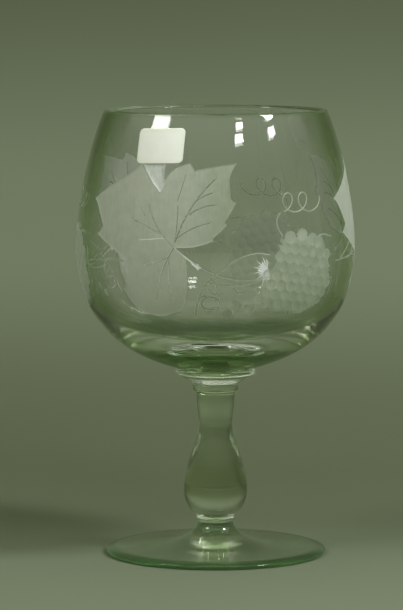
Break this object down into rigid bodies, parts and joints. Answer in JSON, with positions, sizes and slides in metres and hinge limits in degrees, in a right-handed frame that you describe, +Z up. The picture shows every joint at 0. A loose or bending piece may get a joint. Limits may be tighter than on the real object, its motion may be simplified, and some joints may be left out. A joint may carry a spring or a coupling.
{
  "type": "engraved drinking glass",
  "caption": "Large stemmed goblet of clear glass: wide round bowl drawn in at the rim, wafer, baluster stem, spun foot, and a small paper label under the rim.",
  "frame": {"origin": "centre of the foot's resting ring, on the surface the glass stands on", "axes": "+Z up along the axis of the glass; -Y towards the engraved front; the paper label lies to the left of the front"},
  "size_m": [0.1432, 0.1432, 0.2292],
  "materials": {
    "clear_glass": "polished, faint grey-green tint",
    "label_paper": "matt off-white paper"
  },
  "bodies": {
    "root": {"foot": "clear_glass", "foot_collar": "clear_glass", "stem": "clear_glass", "merese": "clear_glass", "bowl": "clear_glass", "paper_label": "label_paper"}
  },
  "joints": []
}
